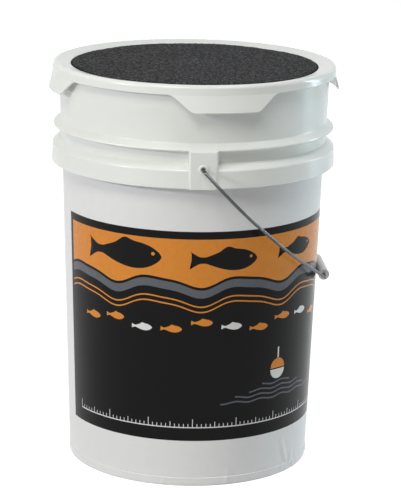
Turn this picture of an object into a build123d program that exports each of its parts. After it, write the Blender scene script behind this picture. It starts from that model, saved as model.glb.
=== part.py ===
from build123d import *
import math
import os

# Live-bait pail that doubles as a seat: a tall plastic pail with a printed film sleeve, a wire bail
# with a roller grip, a foam liner with its own foam lid, and a press-on lid that carries a padded seat.
#
# Millimetres, +Z up.  The origin is the centre of the pail's foot, on the floor.  The two ears and
# the bail's pivots lie on the Y axis, and the bail hangs down on the +X side.

# ---- Pail ------------------------------------------------------------------------------------
pail_height = 448.6        # floor to the top of the rim
body_radius = 145.7        # outside of the tapered body, at the collar's lower edge
body_taper = 10.5          # how much narrower the body is at the floor
neck_step = 3.0            # neck's outside beyond the body's, from the collar up to the bead
rim_step = 1.3             # rim's outside beyond the neck's, just under the lip
lip_overhang = 3.8         # lip that the lid goes over, beyond the rim
lip_height = 6.6
lip_rounding = 2.0
wall = 2.4                 # of the pail, the lid and their skirts
floor_wall = 3.0
floor_rise = 3.5           # hollow under the floor, inside the foot ring
foot_height = 9.5          # the foot flange, which the film shrinks over
foot_step = 0.5            # how far the foot flange stands out
foot_rounding = 1.6
foot_ring_width = 7.0
floor_corner = 6.0         # rounding between the floor and the wall, inside

# ---- Ribs under the pail's floor -------------------------------------------------------------
floor_rib_count = 12
floor_rib_width = 2.0
floor_rib_height = 2.5
floor_hub_radius = 18.0

# ---- Collar, bead and ears -------------------------------------------------------------------
collar_drop = 108.6        # from the rim's top down to the lower edge of the collar's open skirt
collar_skirt = 20.0        # height of the skirt
collar_overhang = 9.3      # skirt's outside beyond the neck's, at its lower edge
collar_draft = 0.7         # how much the skirt narrows to its top
shoulder_rise = 7.0        # the slope from the skirt's top in to the neck
shoulder_rounding = 2.5
collar_edge_rounding = 1.0
collar_rib_count = 24      # gussets hidden inside the skirt
collar_rib_width = 2.0
collar_rib_inset = 3.0     # above the skirt's lower edge
bead_drop = 60.7           # from the rim's top down to the bead's top
bead_height = 7.8
bead_face = 2.2            # upright part of the bead, under its sloping top
bead_overhang = 7.5        # bead's outside beyond the neck's
bead_underside_rounding = 1.0
bead_edge_rounding = 1.6
bead_top_rounding = 1.6
ear_width = 27.4           # of the flat face
ear_flank = 2.0            # bevel along each side of the face
ear_proud = 0.4            # the ear's flat face beyond the collar's lower edge
ear_wall = 3.0
ear_overlap = 0.2          # how far the ear's face reaches up over the bead
ear_rounding = 1.4

# ---- Bail, its pivots and its grip -----------------------------------------------------------
pivot_rise = 21.3          # from the collar's lower edge up to the pivots
wire_radius = 1.75
pivot_clearance = 0.08     # between the wire and the ear's hole, all round
boss_radius = 5.4
boss_proud = 1.0           # outside the ear's face
boss_rounding = 0.7
boss_depth = 2.2           # inside the ear's wall
dish_radius = 3.3          # countersink at the mouth of the hole
dish_depth = 1.4
head_radius = 3.6          # upset head that keeps the wire's end in the ear
head_thickness = 1.6
head_gap = 0.5             # between the head and the boss
bail_reach = 209.4         # from the pivots to the grip's axis
bail_ear_gap = 9.0         # from the ear's face to the wire's first leg
bail_ear_bend = 5.0
# Three bends of one half of the wire; the other half mirrors it.
elbow_spread = 26.4        # outwards from the first leg
elbow_fall = 48.6          # from the pivots' axis
elbow_bend = 65.0
haunch_tuck = 27.3         # inwards from the first leg
haunch_rise = 75.5         # back from the grip's axis towards the pivots
haunch_bend = 115.0
shoulder_spread = 14.7     # outwards from the straight stretch that carries the grip
shoulder_back = 13.3       # back from the grip's axis towards the pivots
shoulder_bend = 25.0
bail_seat_margin = 13.0    # from the grip's end to the corner of the wire's straight stretch
bail_seat_bend = 12.0
grip_radius = 6.2
grip_length = 70.0
grip_rounding = 1.0
grip_slide = 4.5           # how far the grip has slid along the wire from its middle, towards +Y
grip_clearance = 0.08      # between the wire and the grip's bore, all round
grip_rest_gap = 0.3        # between the hanging grip and the film on the pail

# ---- Printed film sleeve ---------------------------------------------------------------------
film = 0.3
film_bottom = 2.4
film_top_gap = 1.2         # below the collar's skirt

# ---- Seat lid --------------------------------------------------------------------------------
lid_clearance = 0.5        # between the lid and the pail's rim, at the sides
lid_rim_wall = 2.7         # of the lid's ring, outside the pail's lip
lid_skirt = 10.7           # from the crest down to the skirt's lower edge
lid_flare = 0.3            # how much the skirt widens to its lower edge
lid_edge_rounding = 4.0
crest_inset = 5.7          # from the lid's outside in to where the ring starts to fall inwards
ring_fall = 3.0            # how far the ring falls to its inner edge
ring_width = 19.4          # from the lid's outside in to the seat's recess
seat_recess_depth = 15.0   # from the ring's inner edge to the seat's floor
plug_depth = 10.5          # locating ring that drops inside the pail's rim
plug_rounding = 0.8
tab_count = 4
tab_turn = 8.4             # degrees, from the front ear round to the first pull tab
tab_drop = 18.4            # below the lid's skirt
tab_flare = 4.8            # the tab's lower edge beyond the lid's outside
tab_top_width = 114.4
tab_bottom_width = 71.6
tab_corner = 16.0          # rounding of the tab's lower corners
tab_blend = 16.0           # rounding between the tab's sides and the skirt's lower edge
tab_edge_rounding = 0.8
lid_rib_count = 12
lid_rib_width = 2.0
lid_rib_height = 7.0
lid_hub_radius = 22.0      # outside of the hub that the ribs start from
lid_rib_end = 6.0          # from the recess's wall in to a rib's end

# ---- Seat pad --------------------------------------------------------------------------------
cover = 1.2                # fabric over the foam
cover_fit = 0.2            # between the cover and the recess's wall
seat_edge_rise = 1.4       # of the pad's top edge, over the ring's inner edge
seat_crown = 2.4           # rise of the pad's middle over its edge
seat_edge_rounding = 2.5
cover_hem = 14.0           # width of the fabric turned under the foam

# ---- Foam liner and its lid ------------------------------------------------------------------
liner_wall = 20.0
liner_floor = 22.0
liner_fit = 1.0            # between the liner and the pail's inner wall
liner_headroom = 9.6       # from the liner's top up to the ribs under the seat
liner_corner = 8.0
liner_edge_rounding = 2.0
liner_lid_thickness = 19.0
liner_lid_seat = 9.0       # width of the ledge that the liner's lid rests on
liner_lid_fit = 0.8
liner_lid_lift = 0.3       # rise of its rim above the liner's, so that it shows as a lid
notch_radius = 13.0        # finger notches in the edge of the liner's lid
notch_count = 2

# ---- Sizes that follow -----------------------------------------------------------------------
floor_top = floor_rise + floor_wall
collar_bottom = pail_height - collar_drop
collar_top = collar_bottom + collar_skirt
shoulder_top = collar_top + shoulder_rise
bead_top = pail_height - bead_drop
bead_bottom = bead_top - bead_height
lip_bottom = pail_height - lip_height
pivot_height = collar_bottom + pivot_rise
ear_top = bead_bottom + ear_overlap
lid_top = pail_height + wall
lid_bottom = lid_top - lid_skirt
ring_edge = lid_top - ring_fall
seat_floor = ring_edge - seat_recess_depth
lid_rib_bottom = seat_floor - wall - lid_rib_height
pad_edge = ring_edge + seat_edge_rise
liner_top = lid_rib_bottom - liner_headroom

foot_radius = body_radius - body_taper
body_slope = body_taper / collar_bottom
neck_radius = body_radius + neck_step
rim_radius = neck_radius + rim_step
lip_radius = rim_radius + lip_overhang
collar_radius = neck_radius + collar_overhang
bead_radius = neck_radius + bead_overhang
ear_face = collar_radius + ear_proud
first_leg = ear_face + bail_ear_gap
bail_seat_half = grip_length / 2 + bail_seat_margin
lid_radius = lip_radius + lid_clearance + lid_rim_wall
crest_radius = lid_radius - crest_inset
seat_recess_radius = lid_radius - ring_width
pad_radius = seat_recess_radius - cover_fit
tab_reach = lid_radius + tab_flare


def body_at(height):
    """Outside radius of the pail's tapered body at a height."""
    return foot_radius + body_slope * height


def liner_outside_at(height):
    """Outside radius of the liner: the pail's inner wall, less the fit."""
    return body_at(height) - wall - liner_fit


ledge = liner_top - liner_lid_thickness
ledge_radius = liner_outside_at(ledge) - liner_wall


def turned(*corners):
    """Solid turned about Z.  Each corner is (radius, height) or (radius, height, rounding)."""
    points = [corner[:2] for corner in corners]
    rounds = [corner[2] if len(corner) > 2 else 0.0 for corner in corners]
    outline = FilletPolyline(*points, radius=rounds, close=True)
    return revolve(Plane.XZ * make_face(outline), Axis.Z)


def plate(outline, thickness):
    """Flat rib: an (x, z) outline in the XZ plane, given a thickness about it."""
    return extrude(Plane.XZ * make_face(Polyline(*outline, close=True)), thickness / 2, both=True)


def around(shape, count, start=0.0):
    """The shape and its copies, evenly spaced about Z."""
    return [Rot(0, 0, start + 360.0 * turn / count) * shape for turn in range(count)]


# ---- Pail ------------------------------------------------------------------------------------
def pail_wall():
    """The turned wall, floor, foot ring, bead and lip."""
    return turned(
        (0, floor_rise),
        (foot_radius - foot_ring_width, floor_rise),
        (foot_radius - foot_ring_width, 0, foot_rounding / 2),
        (foot_radius + foot_step, 0, foot_rounding),
        (body_at(foot_height) + foot_step, foot_height),
        (body_at(foot_height + foot_step), foot_height + foot_step),
        (body_radius, collar_bottom),
        (neck_radius, shoulder_top),
        (neck_radius, bead_bottom),
        (bead_radius, bead_bottom, bead_underside_rounding),
        (bead_radius, bead_bottom + bead_face, bead_edge_rounding),
        (neck_radius, bead_top, bead_top_rounding),
        (rim_radius, lip_bottom),
        (lip_radius, lip_bottom),
        (lip_radius, pail_height, lip_rounding),
        (rim_radius - wall, pail_height, wall / 4),
        (neck_radius - wall, shoulder_top),
        (body_radius - wall, collar_bottom),
        (body_at(floor_top) - wall, floor_top, floor_corner),
        (0, floor_top),
    )


def pail_core(inset):
    """Everything inside the pail's outer wall, less an inset: what the add-ons stay out of."""
    return turned(
        (0, 0),
        (foot_radius - inset, 0),
        (body_radius - inset, collar_bottom),
        (neck_radius - inset, shoulder_top),
        (neck_radius - inset, bead_top),
        (rim_radius - inset, pail_height),
        (0, pail_height),
    )


def collar():
    """The open-bottomed skirt round the neck, joined to it by a sloping shoulder."""
    middle = neck_radius - wall / 2
    return turned(
        (collar_radius - wall, collar_bottom),
        (collar_radius, collar_bottom, collar_edge_rounding),
        (collar_radius - collar_draft, collar_top, shoulder_rounding),
        (neck_radius, shoulder_top),
        (middle, shoulder_top),
        (middle, shoulder_top - wall),
        (collar_radius - collar_draft - wall, collar_top - wall),
    )


def collar_gusset():
    """One rib between the neck and the inside of the collar's skirt."""
    low = collar_bottom + collar_rib_inset
    skirt_middle = collar_radius - collar_draft - wall / 2
    return plate(
        [
            (body_radius - wall / 2, low),
            (skirt_middle, low),
            (skirt_middle, collar_top - wall),
            (neck_radius - wall / 2, shoulder_top - wall / 2),
            (body_radius - wall / 2, shoulder_top - wall / 2),
        ],
        collar_rib_width,
    )


def ear_block(width, flank, face, low, high, crest):
    """Block on the -Y side: a flat face between bevelled flanks, and a top that slopes up to the neck."""
    half, back = width / 2, body_radius - 2 * wall
    plan = [
        (-half - flank, -back),
        (-half - flank, flank - face),
        (-half, -face),
        (half, -face),
        (half + flank, flank - face),
        (half + flank, -back),
    ]
    side = [(-back, low), (-face, low), (-face, high), (-neck_radius, crest), (-back, crest)]
    seen_from_above = extrude(Plane.XY.offset(low) * make_face(Polyline(*plan, close=True)), crest - low)
    seen_from_the_side = Plane.YZ * make_face(Polyline(*side, close=True))
    return seen_from_above & extrude(seen_from_the_side, half + flank, both=True)


def along_y(radius, start, end, end_radius=None):
    """Round bar or cone on the pivots' axis, on the -Y side, between two distances from the middle."""
    axis = Plane(origin=(0, -start, pivot_height), x_dir=(1, 0, 0), z_dir=(0, -1, 0))
    if end_radius is None:
        return extrude(axis * Circle(radius), end - start)
    return loft([axis * Circle(radius), axis.offset(end - start) * Circle(end_radius)])


def pail():
    """One moulding: wall, collar with its gussets, bead, two hollow ears with pivot bosses."""
    inside_wall = pail_core(wall / 2)
    outer = ear_block(ear_width, ear_flank, ear_face, collar_bottom, ear_top, bead_top)
    brow = outer.edges().group_by(Axis.Y)[0].sort_by(Axis.Z)[-1]
    outer = fillet(brow, ear_rounding)
    hollow = ear_block(
        ear_width - wall,
        ear_flank - wall / 2,
        ear_face - ear_wall,
        collar_bottom - wall,
        ear_top - wall,
        bead_top - wall,
    )
    hollow = hollow - pail_core(0)
    boss = along_y(boss_radius, ear_face - ear_wall - boss_depth, ear_face + boss_proud)
    boss = fillet(boss.edges().sort_by(Axis.Y)[0], boss_rounding)
    bore = along_y(wire_radius + pivot_clearance, neck_radius, ear_face + 2 * boss_proud)
    bore = bore - pail_core(0)
    mouth = ear_face + boss_proud
    dish = along_y(wire_radius + pivot_clearance, mouth - dish_depth, mouth, dish_radius)

    body = collar() + around(outer, 2)
    body = body - around(hollow, 2)
    gussets = around(collar_gusset(), collar_rib_count, 90.0 + 180.0 / collar_rib_count)
    body = body + gussets
    body = body - inside_wall
    body = pail_wall() + body
    body = body + around(boss, 2)
    body = body - around(bore, 2) - around(dish, 2)
    return body + floor_grid()


def floor_grid():
    """Ribs and a hub in the hollow under the floor, short of the surface that the foot stands on."""
    low, high = floor_rise - floor_rib_height, floor_rise + floor_wall / 2
    rib = plate(
        [
            (floor_hub_radius - floor_rib_width / 2, low),
            (foot_radius - foot_ring_width / 2, low),
            (foot_radius - foot_ring_width / 2, high),
            (floor_hub_radius - floor_rib_width / 2, high),
        ],
        floor_rib_width,
    )
    hub = turned(
        (floor_hub_radius - floor_rib_width, low),
        (floor_hub_radius, low),
        (floor_hub_radius, high),
        (floor_hub_radius - floor_rib_width, high),
    )
    return [hub] + around(rib, floor_rib_count, 180.0 / floor_rib_count)


def film_sleeve():
    """Printed film shrunk on the pail's body, from the foot to just under the collar."""
    top = collar_bottom - film_top_gap
    step = foot_height + foot_step
    flange_low = foot_radius + foot_step + body_slope * film_bottom
    flange_high = body_at(foot_height) + foot_step
    return turned(
        (flange_low, film_bottom),
        (flange_low + film, film_bottom),
        (flange_high + film, foot_height),
        (body_at(step) + film, step),
        (body_at(top) + film, top),
        (body_at(top), top),
        (body_at(step), step),
        (flange_high, foot_height),
    )


# ---- Bail ------------------------------------------------------------------------------------
def drop_angle():
    """Degrees below level at which the bail hangs, with its grip just off the film."""
    lean = math.atan(body_slope)
    stand_off = (grip_radius + grip_rest_gap) / math.cos(lean)
    level = foot_radius + film + body_slope * pivot_height + stand_off
    return math.degrees(lean + math.acos(level * math.cos(lean) / bail_reach))


def bail_plane():
    """Plane of the hanging bail: x runs along the pivots' axis to the front ear, y towards the grip."""
    drop = math.radians(drop_angle())
    return Plane(
        origin=(0, 0, pivot_height), x_dir=(0, -1, 0), z_dir=(math.sin(drop), 0, math.cos(drop))
    )


def bail_wire():
    """Bent wire with an upset head at each end, inside the ears."""
    end = ear_face - ear_wall - boss_depth - head_gap - head_thickness
    half = [
        (end, 0.0, None),
        (first_leg, 0.0, bail_ear_bend),
        (first_leg + elbow_spread, elbow_fall, elbow_bend),
        (first_leg - haunch_tuck, bail_reach - haunch_rise, haunch_bend),
        (bail_seat_half + shoulder_spread, bail_reach - shoulder_back, shoulder_bend),
        (bail_seat_half, bail_reach, bail_seat_bend),
    ]
    corners = half + [(-along, away, bend) for along, away, bend in reversed(half)]
    points = [corner[:2] for corner in corners]
    bends = [corner[2] for corner in corners[1:-1]]
    path = bail_plane() * FilletPolyline(*points, radius=bends)
    start = Plane(origin=path @ 0, z_dir=path % 0)
    wire = sweep(start * Circle(wire_radius), path=path)
    head = along_y(head_radius, end, end + head_thickness)
    return wire + around(head, 2)


def grip_place():
    """Centre of the grip."""
    drop = math.radians(drop_angle())
    return Pos(bail_reach * math.cos(drop), grip_slide, pivot_height - bail_reach * math.sin(drop))


def bail_grip():
    """Plastic roller on the wire's straight middle."""
    roller = Cylinder(grip_radius, grip_length)
    roller = fillet(roller.edges().filter_by(GeomType.CIRCLE), grip_rounding)
    roller = roller - Cylinder(wire_radius + grip_clearance, 2 * grip_length)
    return grip_place() * Rot(90, 0, 0) * roller


# ---- Seat lid --------------------------------------------------------------------------------
def lid_shell():
    """The turned lid: seat floor, recess wall, ring, and skirt outside the pail's lip."""
    channel_wall = seat_recess_radius + wall
    skirt_inside = lip_radius + lid_clearance
    skirt_outside = lid_radius + lid_flare
    return turned(
        (0, seat_floor - wall),
        (channel_wall, seat_floor - wall, wall / 2),
        (channel_wall, ring_edge - wall),
        (rim_radius - wall - lid_clearance, pail_height),
        (skirt_inside, pail_height),
        (skirt_inside + lid_flare, lid_bottom),
        (skirt_outside, lid_bottom, wall / 4),
        (lid_radius, lid_top, lid_edge_rounding),
        (crest_radius, lid_top),
        (seat_recess_radius, ring_edge, wall / 4),
        (seat_recess_radius, seat_floor),
        (0, seat_floor),
    )


def lid_plug():
    """Ring under the lid that drops inside the pail's rim and centres the lid."""
    outside = rim_radius - wall - lid_clearance
    low = pail_height - plug_depth
    return turned(
        (outside - wall, low, plug_rounding),
        (outside, low, plug_rounding),
        (outside, pail_height + wall / 4),
        (outside - wall, pail_height + wall / 4),
    )


def pull_tab():
    """Curved tab that flares down from the lid's skirt, on the -Y side."""
    top, low = lid_bottom + wall, lid_bottom - tab_drop
    skirt_outside = lid_radius + lid_flare
    shell = turned(
        (skirt_outside - wall, top),
        (skirt_outside - wall, lid_bottom),
        (tab_reach - wall, low, tab_edge_rounding),
        (tab_reach, low, tab_edge_rounding),
        (skirt_outside, lid_bottom),
        (skirt_outside - wall / 4, top),
    )
    half_top, half_low = tab_top_width / 2, tab_bottom_width / 2
    edge = lid_bottom + wall / 4
    front = FilletPolyline(
        (-half_top - tab_blend, top),
        (-half_top - tab_blend, edge),
        (-half_top, edge),
        (-half_low, low),
        (half_low, low),
        (half_top, edge),
        (half_top + tab_blend, edge),
        (half_top + tab_blend, top),
        radius=[0.0, 0.0, tab_blend, tab_corner, tab_corner, tab_blend, 0.0, 0.0],
        close=True,
    )
    window = extrude(Plane.XZ * make_face(front), 2 * tab_reach)
    return shell & window


def lid_rib():
    """One of the ribs that stiffen the seat floor from below."""
    low, high = lid_rib_bottom, seat_floor - wall / 2
    start, end = lid_hub_radius - lid_rib_width / 2, seat_recess_radius - lid_rib_end
    return plate([(start, low), (end - lid_rib_height, low), (end, high), (start, high)], lid_rib_width)


def seat_lid():
    """One moulding: shell, locating ring, four pull tabs and the ribs under the seat."""
    low, high = lid_rib_bottom, seat_floor - wall / 2
    hub = turned(
        (lid_hub_radius - lid_rib_width, low),
        (lid_hub_radius, low),
        (lid_hub_radius, high),
        (lid_hub_radius - lid_rib_width, high),
    )
    lid = lid_shell() + lid_plug() + around(pull_tab(), tab_count, tab_turn)
    return lid + [hub] + around(lid_rib(), lid_rib_count, 180.0 / lid_rib_count)


def crowned(radius, low, edge, crown, rounding):
    """Disc with a domed top: low and edge are the heights of its underside and its top edge."""
    dome = (radius**2 + crown**2) / (2 * crown)
    outline = [
        Line((0, low), (radius, low)),
        Line((radius, low), (radius, edge)),
        RadiusArc((0, edge + crown), (radius, edge), dome),
        Line((0, edge + crown), (0, low)),
    ]
    profile = make_face(outline)
    rim = profile.vertices().group_by(Axis.X)[-1].sort_by(Axis.Y)[-1]
    return revolve(Plane.XZ * fillet(rim, rounding), Axis.Z)


def seat_foam():
    """Foam disc, with a step underneath for the cover's turned-in hem."""
    block = crowned(
        pad_radius - cover, seat_floor, pad_edge - cover, seat_crown, seat_edge_rounding
    )
    step = turned(
        (pad_radius - cover_hem, seat_floor),
        (pad_radius, seat_floor),
        (pad_radius, seat_floor + cover),
        (pad_radius - cover_hem, seat_floor + cover),
    )
    return block - step


def seat_cover():
    """Fabric over the foam's top and side, turned in under its edge."""
    skin = crowned(pad_radius, seat_floor, pad_edge, seat_crown, seat_edge_rounding + cover)
    inside = crowned(
        pad_radius - cover, seat_floor, pad_edge - cover, seat_crown, seat_edge_rounding
    )
    hem = turned(
        (pad_radius - cover_hem, seat_floor),
        (pad_radius - cover / 2, seat_floor),
        (pad_radius - cover / 2, seat_floor + cover),
        (pad_radius - cover_hem, seat_floor + cover),
    )
    return skin - inside + hem


# ---- Liner -----------------------------------------------------------------------------------
def foam_liner():
    """Foam bucket that lifts out of the pail, up to the ledge that its lid rests on."""
    return turned(
        (0, floor_top),
        (liner_outside_at(floor_top), floor_top, liner_corner),
        (liner_outside_at(ledge), ledge),
        (ledge_radius, ledge),
        (liner_outside_at(floor_top + liner_floor) - liner_wall, floor_top + liner_floor, liner_corner),
        (0, floor_top + liner_floor),
    )


def liner_rim():
    """Foam ring that stands on the liner's outer edge, round its lid."""
    return turned(
        (ledge_radius + liner_lid_seat, ledge),
        (liner_outside_at(ledge), ledge),
        (liner_outside_at(liner_top), liner_top, liner_edge_rounding),
        (ledge_radius + liner_lid_seat, liner_top, liner_edge_rounding / 2),
    )


def liner_lid():
    """Foam disc on the liner's ledge, with finger notches in its edge."""
    radius = ledge_radius + liner_lid_seat - liner_lid_fit
    top = liner_top + liner_lid_lift
    disc = turned(
        (0, ledge),
        (radius, ledge),
        (radius, top, liner_edge_rounding),
        (0, top),
    )
    notch = Pos(radius, 0, (ledge + top) / 2) * Cylinder(notch_radius, 2 * liner_lid_thickness)
    return disc - around(notch, notch_count)


PARTS = {
    "pail": pail,
    "film_sleeve": film_sleeve,
    "bail_wire": bail_wire,
    "bail_grip": bail_grip,
    "seat_lid": seat_lid,
    "seat_foam": seat_foam,
    "seat_cover": seat_cover,
    "foam_liner": foam_liner,
    "liner_rim": liner_rim,
    "liner_lid": liner_lid,
}

os.makedirs("parts", exist_ok=True)
for name, make in PARTS.items():
    shape = make()
    shape.label = name
    export_step(shape, f"parts/{name}.step")
print(f"bail hangs {drop_angle():.3f} degrees below level, grip at {grip_place().position}")
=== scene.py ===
# %% [markdown]
# # A live-bait pail with a padded seat
#
# This lesson dresses a tall plastic pail: a moulded pail with a collar, a printed film sleeve shrunk
# on its body, a wire bail with a roller grip, a foam liner inside, and a press-on lid with a padded seat.
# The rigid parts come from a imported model, the frame, and keep their shape: they only get finishes.
# What is soft, thin or printed is modelled here, in metres, in the frame's own place.

# %% Load the frame
import math

import bpy
from mathutils import Matrix, Vector, noise


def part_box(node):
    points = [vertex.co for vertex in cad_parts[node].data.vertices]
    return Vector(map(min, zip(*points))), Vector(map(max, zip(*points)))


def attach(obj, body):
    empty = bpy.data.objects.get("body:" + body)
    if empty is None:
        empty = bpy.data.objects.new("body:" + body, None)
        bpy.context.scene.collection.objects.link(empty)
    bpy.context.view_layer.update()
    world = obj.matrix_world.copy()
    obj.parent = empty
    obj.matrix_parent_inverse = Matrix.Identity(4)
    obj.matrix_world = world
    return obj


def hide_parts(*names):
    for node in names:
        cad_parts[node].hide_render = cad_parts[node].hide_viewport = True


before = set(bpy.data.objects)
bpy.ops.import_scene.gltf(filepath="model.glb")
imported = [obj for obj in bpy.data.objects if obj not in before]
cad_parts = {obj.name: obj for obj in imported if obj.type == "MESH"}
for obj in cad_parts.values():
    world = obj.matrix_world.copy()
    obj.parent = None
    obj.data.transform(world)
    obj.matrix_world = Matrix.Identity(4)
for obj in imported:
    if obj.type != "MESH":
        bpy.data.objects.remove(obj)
bpy.ops.object.select_all(action="DESELECT")
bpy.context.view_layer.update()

MM = 0.001
print("frame nodes:", sorted(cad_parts))

# %% [markdown]
# ## The camera
#
# The camera stands about two and a half metres away and looks slightly down, through a long lens, so
# that the pail's sides hardly converge. Its place is given as a distance, a height and a turn round
# the pail, and its aim as three angles. It comes first, because every later choice is seen through it.

# %% Place the camera
camera_distance = 2555.3 * MM
camera_height = 882.0 * MM
camera_turn = math.radians(-4.2)       # round the pail, from the -Y side towards -X
camera_pan = math.radians(-4.44)       # aim: to the right of +Y
camera_tilt = math.radians(-14.22)     # aim: below level
camera_roll = math.radians(1.186)
focal_length = 167.42                  # millimetres, on a 36 mm sensor

bpy.ops.object.camera_add()
camera = bpy.context.object
camera.name = "camera"
camera.data.lens = focal_length
camera.data.sensor_width = 36.0
camera.data.sensor_fit = "AUTO"
place = Vector((math.sin(camera_turn), -math.cos(camera_turn), 0.0)) * camera_distance
place.z = camera_height
aim = (
    Matrix.Rotation(camera_pan, 4, "Z")
    @ Matrix.Rotation(math.pi / 2 + camera_tilt, 4, "X")
    @ Matrix.Rotation(camera_roll, 4, "Z")
)
camera.matrix_world = Matrix.Translation(place) @ aim
bpy.context.scene.camera = camera
print("camera at", [round(value, 3) for value in place])

# %% [markdown]
# ## Helpers for materials
#
# A finish is a tree of shader nodes. One small function adds a node with its settings and its links,
# and another turns a colour as it is written on a paint chart (sRGB hex) into the linear values that
# the renderer works in. What is the same all over a surface is written on the shader itself.


# %% Helpers for every material
def paint(hex_code):
    """Linear RGBA from an sRGB colour such as C8C4B8."""
    channels = [int(hex_code[place : place + 2], 16) / 255 for place in (0, 2, 4)]
    linear = [c / 12.92 if c <= 0.04045 else ((c + 0.055) / 1.055) ** 2.4 for c in channels]
    return (*linear, 1.0)


def new_material(name):
    """An empty material: its tree, and the Principled shader at the end of it."""
    material = bpy.data.materials.new(name)
    material.use_nodes = True
    tree = material.node_tree
    return material, tree, tree.nodes["Principled BSDF"]


def add(tree, kind, links=(), **settings):
    """Adds a node. links gives its input sockets by name or number: a socket to read, or a value."""
    node = tree.nodes.new("ShaderNode" + kind)
    for name, value in settings.items():
        setattr(node, name, value)
    for socket, source in dict(links).items():
        if isinstance(source, bpy.types.NodeSocket):
            tree.links.new(source, node.inputs[socket])
        else:
            node.inputs[socket].default_value = source
    return node


# %% [markdown]
# ## Moulded HDPE: the pail and its lid
#
# Pails like this are injection moulded from white high-density polyethylene. HDPE is a waxy, slightly
# translucent plastic: light goes a few millimetres into it, so shadows look soft and edges glow a
# little, and its gloss is broad rather than mirror-like. The mould leaves a very fine grain, and the
# cooling wall sinks and swells by hundredths of a millimetre, which shows as a wandering highlight.


# %% The moulded plastic
def moulded_plastic(name, colour, shade, gloss, sink_size, grain_size):
    """White polyethylene: two close tones in soft clouds, wide gloss, and a shallow uneven surface."""
    material, tree, shader = new_material(name)
    place = add(tree, "TexCoord").outputs["Object"]
    clouds = add(tree, "TexNoise", {"Vector": place, "Scale": 1 / sink_size, "Detail": 3.0})
    tone = add(
        tree, "Mix", {"Factor": clouds.outputs[0], "A": paint(colour), "B": paint(shade)}, data_type="RGBA"
    )
    grain = add(tree, "TexNoise", {"Vector": place, "Scale": 1 / grain_size, "Detail": 2.0})
    rough = add(
        tree,
        "MapRange",
        {
            "Value": grain.outputs[0],
            "From Min": 0.3,
            "From Max": 0.7,
            "To Min": gloss,
            "To Max": gloss + 0.08,
        },
    )
    sink = add(tree, "Bump", {"Height": clouds.outputs[0], "Distance": 0.5 * MM, "Strength": 0.25})
    bumps = add(
        tree,
        "Bump",
        {"Height": grain.outputs[0], "Distance": 0.05 * MM, "Strength": 0.3, "Normal": sink.outputs[0]},
    )
    tree.links.new(tone.outputs["Result"], shader.inputs["Base Color"])
    tree.links.new(rough.outputs[0], shader.inputs["Roughness"])
    tree.links.new(bumps.outputs[0], shader.inputs["Normal"])
    shader.inputs["IOR"].default_value = 1.54
    shader.inputs["Subsurface Weight"].default_value = 0.25
    shader.inputs["Subsurface Radius"].default_value = (1.0, 0.95, 0.85)
    shader.inputs["Subsurface Scale"].default_value = 3 * MM
    return material


mould_grain = 1.2 * MM      # a real mould's grain is finer: drawn coarse, so that it shows
pail_plastic = moulded_plastic("moulded_hdpe_pail", "E8EAE5", "E3E6E0", 0.2, 60 * MM, mould_grain)
lid_plastic = moulded_plastic("moulded_hdpe_lid", "EAECE7", "E5E8E2", 0.18, 45 * MM, mould_grain)


def finish_node(name, material):
    """Gives a frame node one material all over."""
    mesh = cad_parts[name].data
    mesh.materials.clear()
    mesh.materials.append(material)


finish_node("pail", pail_plastic)
finish_node("seat_lid", lid_plastic)
print("moulded parts finished: pail, seat_lid")

# %% [markdown]
# ## Zinc-plated wire: the bail
#
# The bail is drawn steel wire with a zinc plating that has gone grey. A metal has no colour of its own
# under its gloss, so metallic is 1 and the base colour is the tint of its reflection. That tint is kept
# far
# darker than grey zinc: it is painted shade, a darkened reflection standing in for dark surroundings.
# Drawing leaves the wire smooth with fine scratches, and the plating dulls in patches, so the roughness
# wanders.


# %% The wire's finish
def zinc_plating():
    """Drawn steel wire under grey zinc, duller in patches, with its reflection darkened as painted shade.
    """
    patch, scratch = 9 * MM, 0.7 * MM       # real scratches are finer, and wouldn't show
    material, tree, shader = new_material("zinc_plated_wire")
    place = add(tree, "TexCoord").outputs["Object"]
    patches = add(tree, "TexNoise", {"Vector": place, "Scale": 1 / patch, "Detail": 4.0})
    dull = add(
        tree,
        "MapRange",
        {"Value": patches.outputs[0], "From Min": 0.35, "From Max": 0.7, "To Min": 0.14, "To Max": 0.28},
    )
    # painted shade: grey zinc, with both tints made far darker so that the reflection stands in for dark
    # surroundings
    tint = add(
        tree,
        "Mix",
        {"Factor": patches.outputs[0], "A": paint("565859"), "B": paint("484A4C")},
        data_type="RGBA",
    )
    scratches = add(tree, "TexNoise", {"Vector": place, "Scale": 1 / scratch, "Detail": 1.0})
    bumps = add(tree, "Bump", {"Height": scratches.outputs[0], "Distance": 0.03 * MM, "Strength": 0.4})
    tree.links.new(tint.outputs["Result"], shader.inputs["Base Color"])
    tree.links.new(dull.outputs[0], shader.inputs["Roughness"])
    tree.links.new(bumps.outputs[0], shader.inputs["Normal"])
    shader.inputs["Metallic"].default_value = 1.0
    return material


finish_node("bail_wire", zinc_plating())
print("wire finished")

# %% [markdown]
# ## Expanded polystyrene: the liner and its lid
#
# The liner is moulded from beads of polystyrene that swell and weld together under steam. Each bead is
# three or four millimetres across, and the welds between them are faint lines a little lower than the
# beads. A Voronoi texture divides space into just such cells, and its distance to the nearest edge
# gives the welds.


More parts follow.
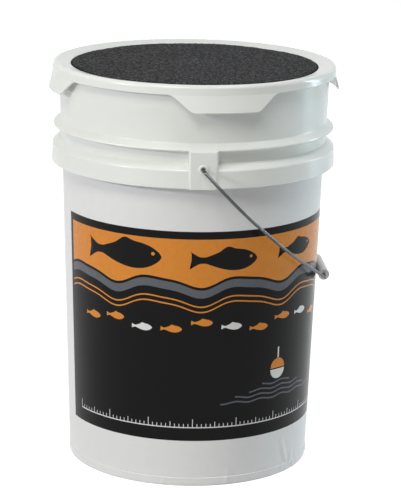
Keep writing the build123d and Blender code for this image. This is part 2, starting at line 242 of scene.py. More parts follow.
# %% The bead foam
def bead_foam():
    """White bead foam: welded cells, each a slightly different white."""
    bead = 3.6 * MM
    material, tree, shader = new_material("expanded_polystyrene")
    place = add(tree, "TexCoord").outputs["Object"]
    cells = add(tree, "TexVoronoi", {"Vector": place, "Scale": 1 / bead})
    welds = add(tree, "TexVoronoi", {"Vector": place, "Scale": 1 / bead}, feature="DISTANCE_TO_EDGE")
    lump = add(
        tree,
        "MapRange",
        {"Value": welds.outputs[0], "From Min": 0.0, "From Max": 0.16},
        interpolation_type="SMOOTHSTEP",
    )
    grey = add(tree, "SeparateColor", {"Color": cells.outputs["Color"]})
    tone = add(
        tree,
        "Mix",
        {"Factor": grey.outputs[0], "A": paint("F1F1EE"), "B": paint("E6E7E5")},
        data_type="RGBA",
    )
    seam = add(
        tree,
        "Mix",
        {"Factor": lump.outputs[0], "A": paint("CFD1D0"), "B": tone.outputs["Result"]},
        data_type="RGBA",
    )
    bumps = add(tree, "Bump", {"Height": lump.outputs[0], "Distance": 0.35 * MM, "Strength": 0.6})
    tree.links.new(seam.outputs["Result"], shader.inputs["Base Color"])
    tree.links.new(bumps.outputs[0], shader.inputs["Normal"])
    shader.inputs["Roughness"].default_value = 0.62
    shader.inputs["IOR"].default_value = 1.45
    shader.inputs["Subsurface Weight"].default_value = 0.2
    shader.inputs["Subsurface Radius"].default_value = (1.0, 1.0, 1.0)
    shader.inputs["Subsurface Scale"].default_value = 4 * MM
    return material


polystyrene = bead_foam()
for name in ("foam_liner", "liner_rim", "liner_lid"):
    finish_node(name, polystyrene)
print("liner finished")

# %% [markdown]
# ## The film sleeve
#
# The print isn't on the pail: it is on a tube of white film, about a third of a millimetre thick, that
# is slipped over the body and shrunk with hot air. The film follows the tapered wall and steps out over
# the foot flange. It could stay a plain cone, but real film wrinkles where it shrinks round the foot.
# So it is modelled as a cone with many rows, and its wrinkles are pushed out of the mesh by code.


# %% Helpers for modelling
def ring_radius(node, height):
    """Outside radius of a frame node, at its ring of points nearest to a height."""
    points = [vertex.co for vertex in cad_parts[node].data.vertices]
    nearest = min(points, key=lambda point: abs(point.z - height)).z
    return max(math.hypot(p.x, p.y) for p in points if abs(p.z - nearest) < 0.05 * MM)


def pick(obj, chosen, what="FACE"):
    """Enters edit mode on an object with only the chosen faces, edges or vertices selected."""
    bpy.ops.object.select_all(action="DESELECT")
    bpy.context.view_layer.objects.active = obj
    obj.select_set(True)
    bpy.ops.object.mode_set(mode="EDIT")
    bpy.ops.mesh.select_mode(type=what)
    bpy.ops.mesh.select_all(action="DESELECT")
    bpy.ops.object.mode_set(mode="OBJECT")
    parts = {"FACE": obj.data.polygons, "EDGE": obj.data.edges, "VERT": obj.data.vertices}[what]
    for part in parts:
        part.select = chosen(part)
    bpy.ops.object.mode_set(mode="EDIT")


def done():
    """Leaves edit mode."""
    bpy.ops.object.mode_set(mode="OBJECT")


def settle(obj, name):
    """Names an object and moves its place, turn and scale into its mesh."""
    obj.name = name
    obj.data.name = name
    bpy.ops.object.select_all(action="DESELECT")
    bpy.context.view_layer.objects.active = obj
    obj.select_set(True)
    bpy.ops.object.transform_apply(location=True, rotation=True, scale=True)
    return obj


def edge_height(obj, edge):
    """Mean height of an edge."""
    return sum(obj.data.vertices[index].co.z for index in edge.vertices) / 2


# %% The sleeve's cone, with its flange
film_low, film_high = (corner.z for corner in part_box("film_sleeve"))
flange_top = 9.5 * MM       # where the film steps out over the foot flange
body_low = 10.0 * MM        # where the tapered body starts
sleeve_columns = 480

bpy.ops.mesh.primitive_cone_add(
    vertices=sleeve_columns,
    radius1=ring_radius("film_sleeve", body_low),
    radius2=ring_radius("film_sleeve", film_high),
    depth=film_high - body_low,
    end_fill_type="NOTHING",
    location=(0, 0, (film_low + film_high) / 2 + (body_low - film_low) / 2),
)
sleeve = settle(bpy.context.object, "printed_sleeve")
radius_here = ring_radius("film_sleeve", body_low)
for height in (flange_top, film_low):
    radius_next = ring_radius("film_sleeve", height)
    lowest = min(vertex.co.z for vertex in sleeve.data.vertices)
    pick(sleeve, lambda edge: abs(edge_height(sleeve, edge) - lowest) < 0.01 * MM, "EDGE")
    bpy.ops.mesh.extrude_region_move(TRANSFORM_OT_translate={"value": (0, 0, height - lowest)})
    grow = radius_next / radius_here
    bpy.ops.transform.resize(value=(grow, grow, 1), center_override=(0, 0, height))
    done()
    radius_here = radius_next
print("sleeve rings:", sorted({round(v.co.z / MM, 1) for v in sleeve.data.vertices}))

# %% Rows across the sleeve, close together where it wrinkles
flange_rows = [4, 5.5, 7, 8.3]                                  # heights in millimetres
wrinkle_rows = [10 + 1.6 * step for step in range(1, 25)]
plain_rows = [52 + 9 * step for step in range(32)]
for row in flange_rows + wrinkle_rows + plain_rows:
    pick(sleeve, lambda face: True)
    bpy.ops.mesh.bisect(plane_co=(0, 0, row * MM), plane_no=(0, 0, 1))
    done()
print("sleeve faces:", len(sleeve.data.polygons))

# %% [markdown]
# The wrinkles come in two kinds. Short upright puckers stand at the foot, where the tube has to grow
# over the flange, and one longer crinkle runs up the wall where the film was nipped. Each is a ridge
# with a bell-shaped section, and each is given by its turn round the pail, its foot, its top, its lean
# and its width.

# %% Wrinkles in the film
# turn in degrees from the front (-Y) towards +X, foot and top heights, sideways lean per height,
# width and rise, all in millimetres
wrinkles = [
    (-15.0, 2.4, 17.0, 0.05, 2.2, 0.5),
    (-1.8, 2.4, 11.0, -0.10, 1.6, 0.35),
    (14.6, 2.4, 22.0, 0.12, 2.4, 0.55),
    (46.5, 3.0, 20.0, 0.10, 2.2, 0.5),
    (50.0, 12.0, 44.0, -0.35, 3.0, 0.9),
    (53.5, 6.0, 30.0, 0.25, 2.4, 0.7),
    (57.0, 2.4, 16.0, -0.30, 2.4, 0.6),
    (-38.0, 2.4, 10.0, 0.08, 1.8, 0.35),
    (-60.0, 2.4, 13.0, -0.08, 2.0, 0.4),
    (81.0, 2.4, 14.0, 0.10, 2.0, 0.45),
    (104.0, 2.4, 19.0, -0.08, 2.2, 0.5),
    (139.0, 2.4, 12.0, 0.12, 2.0, 0.4),
    (171.0, 2.4, 21.0, 0.06, 2.4, 0.5),
    (203.0, 2.4, 12.0, -0.12, 1.8, 0.4),
    (231.0, 2.4, 17.0, 0.10, 2.2, 0.5),
    (252.0, 2.4, 12.0, -0.06, 1.8, 0.35),
]


def turn_of(point):
    """Degrees round the pail, from the front (-Y) towards +X."""
    return math.degrees(math.atan2(point.x, -point.y))


def bell(distance, width):
    """1 at the middle, falling smoothly to 0 about two widths away."""
    return math.exp(-((distance / width) ** 2))


slack_height, slack_reach = 8.0, 12.0      # the film lies slackest round the flange's top
slack_rise = 0.10
slack_scale = Vector((22.0, 22.0, 8.8))    # per metre: hollows 45 mm wide, 114 mm tall
for vertex in sleeve.data.vertices:
    height = vertex.co.z / MM
    radius = math.hypot(vertex.co.x, vertex.co.y)
    slack = noise.noise(vertex.co * slack_scale)
    push = slack_rise * slack * bell(height - slack_height, slack_reach)
    for turn, foot, top, lean, width, rise in wrinkles:
        gap = (turn_of(vertex.co) - turn + 180.0) % 360.0 - 180.0
        sideways = math.radians(gap) * radius / MM - lean * (height - foot)
        if abs(sideways) < 4 * width:
            along = (height - foot) / (top - foot)
            fade = max(0.0, 1.0 - along**2) if along >= 0.0 else 0.0
            hollow = bell(abs(sideways) - 2.2 * width, width)
            push += rise * fade * (bell(sideways, width) - 0.45 * hollow)
    stretch = 1.0 + push * MM / radius
    vertex.co.x *= stretch
    vertex.co.y *= stretch
bpy.ops.object.shade_smooth_by_angle(angle=math.radians(40))
print("wrinkles:", len(wrinkles))


# %% [markdown]
# The film is white, a touch cooler than the plastic of the pail. Its gloss isn't quite even, because it
# shrank unevenly over a moulded wall: a lazy ripple bends the highlights, and a faint haze widens them.
# Every ink has the same ripple and haze, and a gloss of its own.


# %% The film's finish
def gloss_film(name, colour, gloss, specular=0.5):
    """Printed shrink film: one ink colour under a smooth clear gloss with a lazy ripple in it."""
    ripple_size, haze_size = 38 * MM, 12 * MM
    material, tree, shader = new_material(name)
    place = add(tree, "TexCoord").outputs["Object"]
    ripple = add(tree, "TexNoise", {"Vector": place, "Scale": 1 / ripple_size, "Detail": 2.0})
    haze = add(tree, "TexNoise", {"Vector": place, "Scale": 1 / haze_size, "Detail": 2.0})
    rough = add(
        tree,
        "MapRange",
        {
            "Value": haze.outputs[0],
            "From Min": 0.3,
            "From Max": 0.7,
            "To Min": gloss,
            "To Max": gloss + 0.03,
        },
    )
    depth = add(
        tree,
        "MapRange",
        {"Value": haze.outputs[0], "From Min": 0.3, "From Max": 0.7, "To Min": 0.99, "To Max": 1.01},
    )
    tone = add(tree, "HueSaturation", {"Value": depth.outputs[0], "Color": paint(colour)})
    bumps = add(tree, "Bump", {"Height": ripple.outputs[0], "Distance": 0.6 * MM, "Strength": 0.2})
    tree.links.new(tone.outputs[0], shader.inputs["Base Color"])
    tree.links.new(rough.outputs[0], shader.inputs["Roughness"])
    tree.links.new(bumps.outputs[0], shader.inputs["Normal"])
    shader.inputs["IOR"].default_value = 1.5
    shader.inputs["Specular IOR Level"].default_value = specular
    return material


white_film = gloss_film("shrink_film_white", "E3E3E2", 0.3)
sleeve.data.materials.append(white_film)
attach(sleeve, "pail")
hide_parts("film_sleeve")
print("film finished")

# %% [markdown]
# ## The print
#
# Inks lie on the film in flat colours, with sharp edges. They could be an image, but drawn shapes stay
# sharp at any size. Each shape starts as a flat grid, as on the printer's sheet: across is millimetres
# round the pail, and up is height. Its top and bottom edges are shaped, and then the sheet is wrapped
# on the sleeve. A later ink lies a twentieth of a millimetre over the one before. The whole design is
# printed twice, on a front panel and a back one.
#
# The design is a plain one: an orange sky over dark water, with a swell between them, minnows, a float
# on its ripples, and a measuring rule along the foot.

# %% Wrapping a flat sheet on the sleeve
print_radius = 140.0        # millimetres: where a millimetre of the flat sheet keeps its length
sheet_step = 3.5            # widest column of a sheet, so that it bends with the wall
ink_lift = 0.05             # between one ink and the next
slope_low = ring_radius("film_sleeve", body_low) / MM
slope_high = ring_radius("film_sleeve", film_high) / MM
slope = (slope_high - slope_low) / ((film_high - body_low) / MM)


def wrap(obj, layer):
    """Bends a flat sheet (x across, z up, in millimetres) round the sleeve, on a layer of ink."""
    for vertex in obj.data.vertices:
        across, up = vertex.co.x, vertex.co.z
        radius = slope_low + slope * (up - body_low / MM) + layer * ink_lift
        turn = across / print_radius
        vertex.co = Vector((math.sin(turn) * radius, -math.cos(turn) * radius, up)) * MM


def sheet(left, right, foot, head, columns=None, rows=1):
    """A flat sheet. The heights of its foot and head are numbers, or functions of the place across."""
    columns = columns or max(1, math.ceil((right - left) / sheet_step))
    bpy.ops.mesh.primitive_grid_add(x_subdivisions=columns, y_subdivisions=rows, size=1)
    flat = bpy.context.object
    for vertex in flat.data.vertices:
        across = left + (vertex.co.x + 0.5) * (right - left)
        share = vertex.co.y + 0.5
        low = foot(across) if callable(foot) else foot
        high = head(across) if callable(head) else head
        vertex.co = (across, 0.0, low + share * (high - low))
    return flat


def join(pieces, name, layer, material):
    """Wraps flat sheets, joins them as one piece of ink, and lays it on the pail."""
    for piece in pieces:
        wrap(piece, layer)
    bpy.ops.object.select_all(action="DESELECT")
    for piece in pieces:
        piece.select_set(True)
    bpy.context.view_layer.objects.active = pieces[0]
    if len(pieces) > 1:
        bpy.ops.object.join()
    ink = settle(bpy.context.object, name)
    ink.data.materials.append(material)
    bpy.ops.object.shade_smooth()
    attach(ink, "pail")
    print(name, "faces:", len(ink.data.polygons))


# %% The dark ground
def arc(degrees):
    """Millimetres across the flat sheet for a turn round the pail."""
    return math.radians(degrees) * print_radius


black_ink = gloss_film("ink_black", "0B0B0C", 0.22, 0.1)
orange_ink = gloss_film("ink_orange", "DA8830", 0.26, 0.2)
grey_ink = gloss_film("ink_grey", "5E6268", 0.26, 0.15)
white_ink = gloss_film("ink_white", "DCDCDA", 0.34)
ground_left, ground_right = -71.7, 268.8        # degrees, from the front towards +X
ground_low, ground_high = 53.1, 290.7           # heights in millimetres, as all that follow

ground = sheet(arc(ground_left), arc(ground_right), ground_low, ground_high, rows=12)
join([ground], "ink_ground", 1, black_ink)

# %% The two panels, the orange sky and the grey swell under it
panel_margin = 2.4                              # degrees of ground to the left of a panel
back_panel = 98.5
panels = [arc(ground_left + panel_margin), arc(back_panel + panel_margin)]
panel_width = arc(165.4)
sky_high = 282.2
swell_middle, swell_rise, swell_length = 232.0, 5.5, 96.0
swell_depth = 9.0
sky_gap = 3.0                                   # a dark line between the sky and the swell
line_drops, line_width = (18.0, 24.0), 1.6      # two thin lines that follow the swell below it


def swell(across, start):
    """Height of the water's edge: a wave with crests sharper than its troughs."""
    turn = 2 * math.pi * (across - start) / swell_length
    return swell_middle + swell_rise * (math.sin(turn) + 0.25 * math.sin(2 * turn + 0.8))


skies, swells = [], []
for start in panels:
    end = start + panel_width
    skies.append(sheet(start, end, lambda x: swell(x, start) + sky_gap, sky_high, rows=4))
    swells.append(sheet(start, end, lambda x: swell(x, start) - swell_depth, lambda x: swell(x, start)))
    for drop in line_drops:
        skies.append(
            sheet(
                start,
                end,
                lambda x: swell(x, start) - drop - line_width,
                lambda x: swell(x, start) - drop,
            )
        )
join(skies, "ink_sky", 2, orange_ink)
join(swells, "ink_swell", 2, grey_ink)


# %% [markdown]
# A minnow is one more sheet, with its edges shaped: a spindle that is thickest a third of the way along,
# a back fin, and a tail that flares and is notched at its end.


# %% Minnows
def minnow(nose, height, length):
    """A flat fish with its nose at a place across the sheet."""
    thickness = 0.30 * length

    def half(share):
        """Half the fish's thickness at a share of its length."""
        body = math.sin(math.pi * min(share / 0.86, 1.0) ** 0.72)
        tail = max(0.0, (share - 0.76) / 0.24) ** 1.3
        return 0.5 * thickness * max(body, 0.0) + 0.42 * thickness * tail + 0.035 * thickness

    fish = sheet(0, length, -1, 1, columns=40, rows=2)
    for vertex in fish.data.vertices:
        share = vertex.co.x / length
        fin = 0.18 * thickness * bell(share - 0.46, 0.09) if vertex.co.z > 0 else 0.0
        up = vertex.co.z * half(share) + vertex.co.z * fin
        notch = -0.10 * length if share > 0.999 and abs(vertex.co.z) < 0.5 else 0.0
        vertex.co = (nose - (vertex.co.x + notch), 0.0, height + up)
    pick(fish, lambda face: True)
    bpy.ops.mesh.flip_normals()
    done()
    return fish


def eye(nose, height, length):
    """A small round spot of ink for the eye of a minnow of that length."""
    bpy.ops.mesh.primitive_circle_add(vertices=20, radius=0.022 * length, fill_type="NGON")
    spot = bpy.context.object
    for vertex in spot.data.vertices:
        vertex.co = (nose - 0.10 * length + vertex.co.x, 0.0, height + 0.035 * length + vertex.co.y)
    return spot


big_minnows = ((128.0, 261.0, 92.0), (232.0, 259.0, 74.0), (318.0, 262.0, 58.0))   # nose, height, length
shoal_count, shoal_start, shoal_step = 11, 52.0, 33.0
shoal_height, shoal_rise, shoal_length = 184.0, 5.0, 24.0
dark_fish, eyes, small_fish, pale_fish = [], [], [], []
for start in panels:
    for nose, height, length in big_minnows:
        dark_fish.append(minnow(start + nose, height, length))
        eyes.append(eye(start + nose, height, length))
    for place in range(shoal_count):
        height = shoal_height + shoal_rise * math.sin(1.9 * place)
        fish = minnow(start + shoal_start + shoal_step * place, height, shoal_length)
        (pale_fish if place % 3 == 2 else small_fish).append(fish)
join(dark_fish, "ink_minnows_dark", 3, black_ink)
join(eyes, "ink_minnow_eyes", 4, orange_ink)
join(small_fish, "ink_minnows_orange", 2, orange_ink)
join(pale_fish, "ink_minnows_pale", 2, white_ink)

# %% [markdown]
# A fishing float stands on four ripples that widen towards the eye. It is half orange and half white,
# with a thin white stem. Along the foot of each panel runs a plain rule: a line with a tick every five
# millimetres, longer at the fifth and longest at the tenth.

# %% Ripples and a float
float_place, float_radius = 268.0, 11.0
waterline, waterline_gap = 128.0, 1.5           # the gap is the dark line between the float's halves
stem_low, stem_high, stem_half = 139.5, 152.0, 1.0
ripple_count, ripple_top, ripple_fall = 4, 112.0, 5.5
ripple_half, ripple_growth = 22.0, 17.0
ripple_wave, ripple_turn = 1.1, 5.0             # how high the line waves, and how far for one radian
ripple_width = 1.8


def ripple(across, middle, ring):
    """Height of a ripple at a place across."""
    return ripple_top - ripple_fall * ring + ripple_wave * math.sin((across - middle) / ripple_turn)


def dome(across, middle):
    """Half height of the float at a place across."""
    return math.sqrt(max(0.0, float_radius**2 - (across - middle) ** 2))


pale_head = waterline - waterline_gap
ripple_lines, float_orange, float_pale = [], [], []
for start in panels:
    middle = start + float_place
    left, right = middle - float_radius, middle + float_radius
    for ring in range(ripple_count):
        reach = ripple_half + ripple_growth * ring
        ripple_lines.append(
            sheet(
                middle - reach,
                middle + reach,
                lambda x: ripple(x, middle, ring) - ripple_width / 2,
                lambda x: ripple(x, middle, ring) + ripple_width / 2,
                columns=48,
            )
        )
    float_orange.append(sheet(left, right, waterline, lambda x: waterline + dome(x, middle), columns=28))
    float_pale.append(sheet(left, right, lambda x: pale_head - dome(x, middle), pale_head, columns=28))
    float_pale.append(sheet(middle - stem_half, middle + stem_half, stem_low, stem_high))
join(ripple_lines, "ink_ripples", 2, grey_ink)
join(float_orange, "ink_float_top", 2, orange_ink)

# %% The measuring rule
rule_low, rule_high = 68.0, 69.2
rule_margin, rule_length = 14.0, 360.0
tick_count, tick_step, tick_half = 73, 5.0, 0.4
marks = []
for start in panels:
    left = start + rule_margin
    marks.append(sheet(left, left + rule_length, rule_low, rule_high))
    for tick in range(tick_count):
        tall = 9.0 if tick % 10 == 0 else 6.0 if tick % 5 == 0 else 3.6
        across = left + tick_half + tick_step * tick
        marks.append(sheet(across - tick_half, across + tick_half, rule_high, rule_high + tall))
join(float_pale + marks, "ink_float_and_rule", 2, white_ink)

# %% [markdown]
# The sleeve was a flat film before it was a tube: a seam five millimetres wide, welded from top to foot,
# shows where the print leaves a gap.

# %% The welded seam of the sleeve
seam_middle, seam_half = arc(-81.2), 2.5
seam_low, seam_high = 10.5, film_high / MM - 0.3
seam = sheet(seam_middle - seam_half, seam_middle + seam_half, seam_low, seam_high, rows=40)
join([seam], "sleeve_seam", 1, white_film)

# %% [markdown]
# ## The padded seat
#
# The seat is a round pad of firm foam under a needled felt cover, pressed into the lid's recess. Its
# top swells a little between its edges. A disc with a rounded edge would look machined, so the cover is
# made as upholsterers' covers are drawn on a computer: a closed skin, cut a little wider than the recess
# and a little lower than the pad, is blown up by a cloth simulation, and its spare rim is then tucked in.

# %% The pad's blank
pad_low, pad_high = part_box("seat_cover")
pad_radius = pad_high.x
pad_base = pad_low.z
cover_points = [vertex.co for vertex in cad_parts["seat_cover"].data.vertices]
pad_edge_height = max(p.z for p in cover_points if math.hypot(p.x, p.y) > pad_radius - 4 * MM)
pad_spare = 4.0 * MM        # cut wider than the recess, and tucked in
pad_slack = 0.5 * MM        # cut lower than the pad, and blown up
pad_blank_top = pad_edge_height - pad_slack
pad_border = 3.0 * MM       # the outermost ring of faces on the top
pad_ring = 28.0 * MM        # the width of each ring inside it
pad_rises = 0.3, 0.3, 0.1   # how far each of them rises, in millimetres

bpy.ops.mesh.primitive_cylinder_add(
    vertices=160,
    radius=pad_radius + pad_spare,
    depth=pad_blank_top - pad_base,
    location=(0, 0, (pad_blank_top + pad_base) / 2),
)
pad = settle(bpy.context.object, "pad_cover")
pad_top = max(vertex.co.z for vertex in pad.data.vertices)
pick(pad, lambda face: face.center.z > pad_top - 0.1 * MM)
bpy.ops.mesh.inset(thickness=pad_border)
for rise in pad_rises:
    bpy.ops.mesh.inset(thickness=pad_ring)
    bpy.ops.transform.translate(value=(0, 0, rise * MM))
done()
print("blank faces:", len(pad.data.polygons))

# %% [markdown]
# Cloth swells evenly only if its faces are small and alike, so the blank is remeshed first. Pressure
# pushes it out for twenty steps with no gravity. A firm pad hardly gives, so no point may end more than
# a millimetre from where it began.

# %% Blow it up
pad_voxel = 5.0 * MM
swell_steps = 20
swell_cap = 1.0 * MM
remesh = pad.modifiers.new("voxels", "REMESH")
remesh.mode = "VOXEL"
remesh.voxel_size = pad_voxel
bpy.ops.object.modifier_apply(modifier="voxels")
rest = [vertex.co.copy() for vertex in pad.data.vertices]
cloth = pad.modifiers.new("pressure", "CLOTH")
cloth.settings.use_pressure = True
cloth.settings.uniform_pressure_force = 4.0
cloth.settings.effector_weights.gravity = 0.0
cloth.point_cache.frame_end = swell_steps
for step in range(1, swell_steps + 1):
    bpy.context.scene.frame_set(step)
bpy.ops.object.modifier_apply(modifier="pressure")
bpy.context.scene.frame_set(1)
for vertex, start in zip(pad.data.vertices, rest):
    move = vertex.co - start
    if move.length > swell_cap:
        vertex.co = start + move.normalized() * swell_cap
print("pad points:", len(pad.data.vertices))

# %% [markdown]
# The finer skin then gets the felt's pile: low tufts, in the mesh, so that the rim isn't a clean line. The
# spare width is drawn in to the recess, where it stands upright, as a tucked hem does.

# %% Hold it in the recess, and round it off
fine = pad.modifiers.new("fine", "SUBSURF")
fine.levels = 2
fine.render_levels = 2
bpy.ops.object.modifier_apply(modifier="fine")
pile_height, pile_size = 0.5 * MM, 3.1 * MM
recess_fit = 0.4 * MM
limit = pad_radius - recess_fit
pile_limit = limit - 2 * MM
faces_up = [vertex.normal.z > 0.5 for vertex in pad.data.vertices]
for vertex, up in zip(pad.data.vertices, faces_up):
    radius = math.hypot(vertex.co.x, vertex.co.y)
    if up and radius < pile_limit:
        vertex.co.z += pile_height * noise.noise(vertex.co / pile_size)
    if radius > limit:
        vertex.co.x *= limit / radius
        vertex.co.y *= limit / radius
    vertex.co.z = max(vertex.co.z, pad_base)
bpy.ops.object.shade_smooth()
print("pad top in mm:", round(max(vertex.co.z for vertex in pad.data.vertices) / MM, 2))

# %% [markdown]
# Needled felt is short polyester fibres, punched into a mat with barbed needles. It has no weave: black
# and grey fibres lie every way, so the eye sees a fine salt and pepper with faint clouds, and no gloss.
# Two sizes of noise give that, and their mixture also lifts the surface. Round the rim, where the hem is
# drawn into the recess, the colour is mixed towards near-black: painted shade for the shadowed crevice
# between the pad and the lid.


# %% The felt
def needled_felt():
    """Charcoal felt: dark fibres with grey ones among them, and painted shade darkening the rim."""
    fibre = 1.6 * MM          # far coarser than real fibres, so that they show
    tuft = 5.0 * MM
    rim_inner, rim_outer = pad_radius - 3.0 * MM, pad_radius - 1.0 * MM
    material, tree, shader = new_material("needled_felt")
    place = add(tree, "TexCoord").outputs["Object"]
    fibres = add(
        tree,
        "TexNoise",
        {"Vector": place, "Scale": 1 / fibre, "Detail": 2.0, "Roughness": 0.6, "Distortion": 0.6},
    )
    tufts = add(tree, "TexNoise", {"Vector": place, "Scale": 1 / tuft, "Detail": 3.0, "Roughness": 0.6})
    mixed = add(
        tree,
        "Mix",
        {"Factor": 0.3, "A": fibres.outputs[0], "B": tufts.outputs[0]},
        data_type="FLOAT",
    )
    tone = add(tree, "ValToRGB", {"Fac": mixed.outputs[0]})
    ramp = tone.color_ramp
    ramp.elements[0].position = 0.36
    ramp.elements[0].color = paint("1B1B1C")
    ramp.elements[1].position = 0.66
    ramp.elements[1].color = paint("6E6E6F")
    middle = ramp.elements.new(0.5)
    middle.color = paint("2D2D2E")
    flat = add(tree, "VectorMath", {0: place, 1: (1.0, 1.0, 0.0)}, operation="MULTIPLY")
    reach = add(tree, "VectorMath", {0: flat.outputs[0]}, operation="LENGTH")
    # painted shade: towards the rim the felt is mixed with near-black, for the shadow in the crevice round
    # the pad
    rim = add(
        tree,
        "MapRange",
        {
            "Value": reach.outputs["Value"],
            "From Min": rim_inner,
            "From Max": rim_outer,
            "To Min": 0.0,
            "To Max": 0.85,
        },
    )
    dark = add(
        tree,
        "Mix",
        {"Factor": rim.outputs[0], "A": tone.outputs[0], "B": paint("0C0C0D")},
        data_type="RGBA",
    )
    bumps = add(tree, "Bump", {"Height": mixed.outputs[0], "Distance": 1.0 * MM, "Strength": 0.65})
    tree.links.new(dark.outputs["Result"], shader.inputs["Base Color"])
    tree.links.new(bumps.outputs[0], shader.inputs["Normal"])
    shader.inputs["Roughness"].default_value = 0.95
    shader.inputs["Specular IOR Level"].default_value = 0.12
    return material


pad.data.materials.append(needled_felt())
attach(pad, "seat_lid")
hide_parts("seat_cover")
print("pad finished")

# %% [markdown]
# ## The roller grip
#
# The grip is a white moulded tube of softer polyethylene, slipped on the wire before it is bent. Its ends
# are rounded, and each end face is dished round the bore. It starts as a cylinder: insets shape the two
# ends, and a bridge between them through the middle opens the bore.

# %% Model the grip
grip_low, grip_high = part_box("bail_grip")
grip_middle = (grip_low + grip_high) / 2
grip_radius = (grip_high.x - grip_low.x) / 2
grip_length = grip_high.y - grip_low.y
grip_points = [vertex.co - grip_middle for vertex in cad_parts["bail_grip"].data.vertices]
bore = min(math.hypot(point.x, point.z) for point in grip_points)
end_ring = 1.5 * MM         # flat ring round each end face
dish_slope, dish_depth = 0.4 * MM, 0.5 * MM

bpy.ops.mesh.primitive_cylinder_add(
    vertices=64, radius=grip_radius, depth=grip_length, end_fill_type="NGON", rotation=(math.pi / 2, 0, 0)
)
grip = settle(bpy.context.object, "roller_grip")
for side in (-1, 1):
    pick(grip, lambda face: face.normal.y * side > 0.9)
    bpy.ops.mesh.inset(thickness=end_ring)
    bpy.ops.mesh.inset(thickness=dish_slope)
    bpy.ops.transform.translate(value=(0, -side * dish_depth, 0))
    bpy.ops.mesh.inset(thickness=grip_radius - end_ring - dish_slope - bore)
    done()
pick(grip, lambda face: abs(face.normal.y) > 0.9 and math.hypot(face.center.x, face.center.z) < 0.1 * MM)
bpy.ops.mesh.bridge_edge_loops()
done()
print("grip faces:", len(grip.data.polygons))

# %% Round its ends and put it on the wire
rounding = grip.modifiers.new("rounding", "BEVEL")
rounding.width = 0.9 * MM
rounding.segments = 4
rounding.limit_method = "ANGLE"
rounding.angle_limit = math.radians(50)
bpy.context.view_layer.objects.active = grip
bpy.ops.object.modifier_apply(modifier="rounding")
grip.location = grip_middle
settle(grip, "roller_grip")
bpy.ops.object.shade_smooth_by_angle(angle=math.radians(35))
grip_plastic = moulded_plastic("moulded_ldpe_grip", "E8E9E6", "DDDFDC", 0.36, 14 * MM, 0.9 * MM)
grip.data.materials.append(grip_plastic)
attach(grip, "grip")
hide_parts("bail_grip")
print("grip length in mm:", round(grip_length / MM, 1))

# %% [markdown]
# ## The pad's foam core
#
# Under the cover is a disc of closed-cell foam. Nothing of it shows until the pad is cut open, but it is
# there, with a coarse skin, because someone may take the seat apart.


# %% The foam core
def cut_foam():
    """Dark closed-cell foam with small pores."""
    pore = 1.8 * MM
    material, tree, shader = new_material("closed_cell_foam")
    place = add(tree, "TexCoord").outputs["Object"]
    pores = add(tree, "TexVoronoi", {"Vector": place, "Scale": 1 / pore})
    tone = add(
        tree,
        "Mix",
        {"Factor": pores.outputs["Distance"], "A": paint("2E2F31"), "B": paint("4A4B4D")},
        data_type="RGBA",
    )
    bumps = add(tree, "Bump", {"Height": pores.outputs["Distance"], "Distance": 0.4 * MM, "Strength": 0.5})
    tree.links.new(tone.outputs["Result"], shader.inputs["Base Color"])
    tree.links.new(bumps.outputs[0], shader.inputs["Normal"])
    shader.inputs["Roughness"].default_value = 0.85
    return material


finish_node("seat_foam", cut_foam())
print("foam core finished")

# %% [markdown]
# ## Floor and light
#
# The pail stands on a plain white floor that fills the view. Only the camera and the gloss on things see
# the floor and the sky at full white; the light on the pail comes from four lamps, and a little from the
# sky. The key stands to the left, small and rather low, so that the collar, the lid's skirt and the ear
# throw short, clear shadows. A softer lamp above it opens the slopes that face up, a tall cool one on
# the right draws a soft highlight down the collar, and one from above on the right lights the lid.


# %% The floor
floor_size = 40.0               # metres, so that its edges are out of view
floor_drop = 0.1 * MM           # under the foot, so that the two faces don't coincide
floor_glow = 0.8


def seen_directly(tree):
    """1 for rays from the camera, off gloss or through glass, and 0 for light that falls on things."""
    path = add(tree, "LightPath")
    seen = path.outputs["Is Camera Ray"]
    for ray in ("Is Glossy Ray", "Is Transmission Ray"):
        seen = add(tree, "Math", {0: seen, 1: path.outputs[ray]}, operation="MAXIMUM").outputs[0]
    return seen


def studio_floor():
    """White floor that keeps the shadow: to the camera it also glows, up to white."""
    material, tree, shader = new_material("studio_floor")
    shader.inputs["Base Color"].default_value = paint("D8D8D8")
    shader.inputs["Roughness"].default_value = 0.9
    glow = add(tree, "Math", {0: seen_directly(tree), 1: floor_glow}, operation="MULTIPLY")
    tree.links.new(glow.outputs[0], shader.inputs["Emission Strength"])
    shader.inputs["Emission Color"].default_value = (1, 1, 1, 1)
    return material


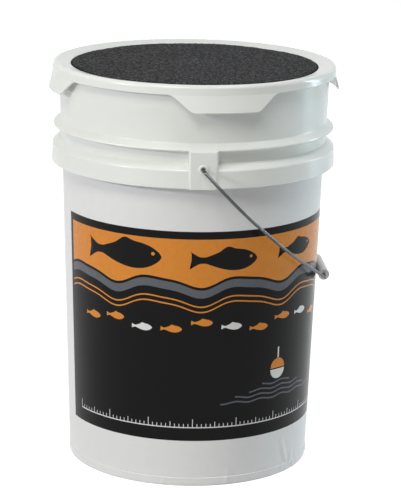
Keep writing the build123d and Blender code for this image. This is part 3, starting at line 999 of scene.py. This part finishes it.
bpy.ops.mesh.primitive_plane_add(size=floor_size, location=(0, 0, -floor_drop))
floor = settle(bpy.context.object, "floor")
floor.data.materials.append(studio_floor())
print("floor laid")

# %% The sky
sky_light = 0.15
world = bpy.data.worlds.new("studio")
bpy.context.scene.world = world
world.use_nodes = True
sky = world.node_tree
sky.nodes.clear()
ambient = add(sky, "Background", {"Color": (1, 1, 1, 1), "Strength": sky_light})
backdrop = add(sky, "Background", {"Color": (1, 1, 1, 1), "Strength": 1.0})
mixed = add(sky, "MixShader", {"Fac": seen_directly(sky), 1: ambient.outputs[0], 2: backdrop.outputs[0]})
add(sky, "OutputWorld", {"Surface": mixed.outputs[0]})
print("sky nodes:", len(sky.nodes))


# %% The lamps
def softbox(name, turn, rise, distance, width, height, power, tint):
    """A rectangular lamp that faces the middle of the pail, at a turn round it and a rise, in degrees.

    Its distance, width and height are in metres, and its power in watts.
    """
    middle = Vector((0, 0, 0.25))
    turn, rise = math.radians(turn), math.radians(rise)
    outwards = Vector((math.sin(turn) * math.cos(rise), -math.cos(turn) * math.cos(rise), math.sin(rise)))
    place = middle + distance * outwards
    bpy.ops.object.light_add(type="AREA", location=place)
    lamp = bpy.context.object
    lamp.name = name
    lamp.data.shape = "RECTANGLE"
    lamp.data.size = width
    lamp.data.size_y = height
    lamp.data.energy = power
    lamp.data.color = paint(tint)[:3]
    lamp.rotation_euler = (-outwards).to_track_quat("-Z", "Y").to_euler()
    print("lamp", name, "at", [round(value, 2) for value in place])


softbox("key", turn=-61.0, rise=20.0, distance=3.0, width=0.3, height=0.3, power=32.0, tint="F8F8FF")
softbox("fill", turn=-30.0, rise=50.0, distance=2.8, width=0.9, height=0.9, power=25.5, tint="FFFDEE")
softbox("side", turn=107.0, rise=8.0, distance=2.8, width=0.45, height=1.6, power=28.5, tint="DEF8FF")
softbox("above", turn=40.0, rise=65.0, distance=2.6, width=0.8, height=0.8, power=17.5, tint="F1F1FF")

bpy.context.scene.view_settings.view_transform = "Standard"
